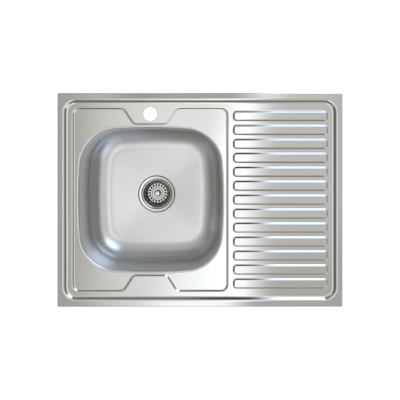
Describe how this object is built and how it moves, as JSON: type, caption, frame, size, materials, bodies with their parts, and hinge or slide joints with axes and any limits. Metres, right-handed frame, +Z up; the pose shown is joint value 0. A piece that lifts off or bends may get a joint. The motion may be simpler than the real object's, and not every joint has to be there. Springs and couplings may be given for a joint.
{
  "type": "lay-on kitchen sink",
  "caption": "Stainless steel lay-on kitchen sink with a square bowl on the left, a ribbed drainer on the right, a rear tap hole and a basket strainer waste.",
  "frame": {"origin": "middle of the front return lip, on its underside; the undersides of the four return lips are the plane on which the sink sits", "axes": "+X towards the drainer, +Y towards the tap hole at the rear, +Z up out of the bowl"},
  "size_m": [0.8, 0.6, 0.2558],
  "materials": {
    "stainless_sheet": "finely brushed along the length",
    "polished_stainless": "polished",
    "zinc_plated_steel": "zinc plated",
    "bitumen_pad": "matte",
    "black_rubber": "moulded",
    "white_plastic": "moulded",
    "brass_insert": "turned"
  },
  "bodies": {
    "sink": {"deck": "stainless_sheet", "bowl": "stainless_sheet", "waste_seat": "stainless_sheet", "sound_pad_left": "bitumen_pad", "sound_pad_right": "bitumen_pad", "bracket_front_left": "zinc_plated_steel", "bracket_rear_left": "zinc_plated_steel", "bracket_front_right": "zinc_plated_steel", "bracket_rear_right": "zinc_plated_steel", "waste_cup": "polished_stainless", "flange_seal": "black_rubber", "body_seal": "black_rubber", "waste_housing": "white_plastic", "outlet_spigot": "white_plastic", "housing_insert": "brass_insert", "clamp_screw": "polished_stainless", "screw_washer": "polished_stainless"},
    "plug": {"basket_stem": "polished_stainless", "basket_knob": "polished_stainless", "stopper": "black_rubber", "stopper_washer": "polished_stainless", "stem_clip": "polished_stainless", "stem_o_ring": "black_rubber"},
    "basket": {"basket": "polished_stainless"}
  },
  "joints": [
    {"name": "plug_lift", "type": "slide", "parent": "sink", "child": "plug", "axis": [0, 0, 1], "range_m": [0, 0.23]},
    {"name": "basket_turn", "type": "hinge", "parent": "plug", "child": "basket", "pos_m": [-0.14, 0.293, -0.1695], "axis": [0, 0, 1], "continuous": true}
  ]
}
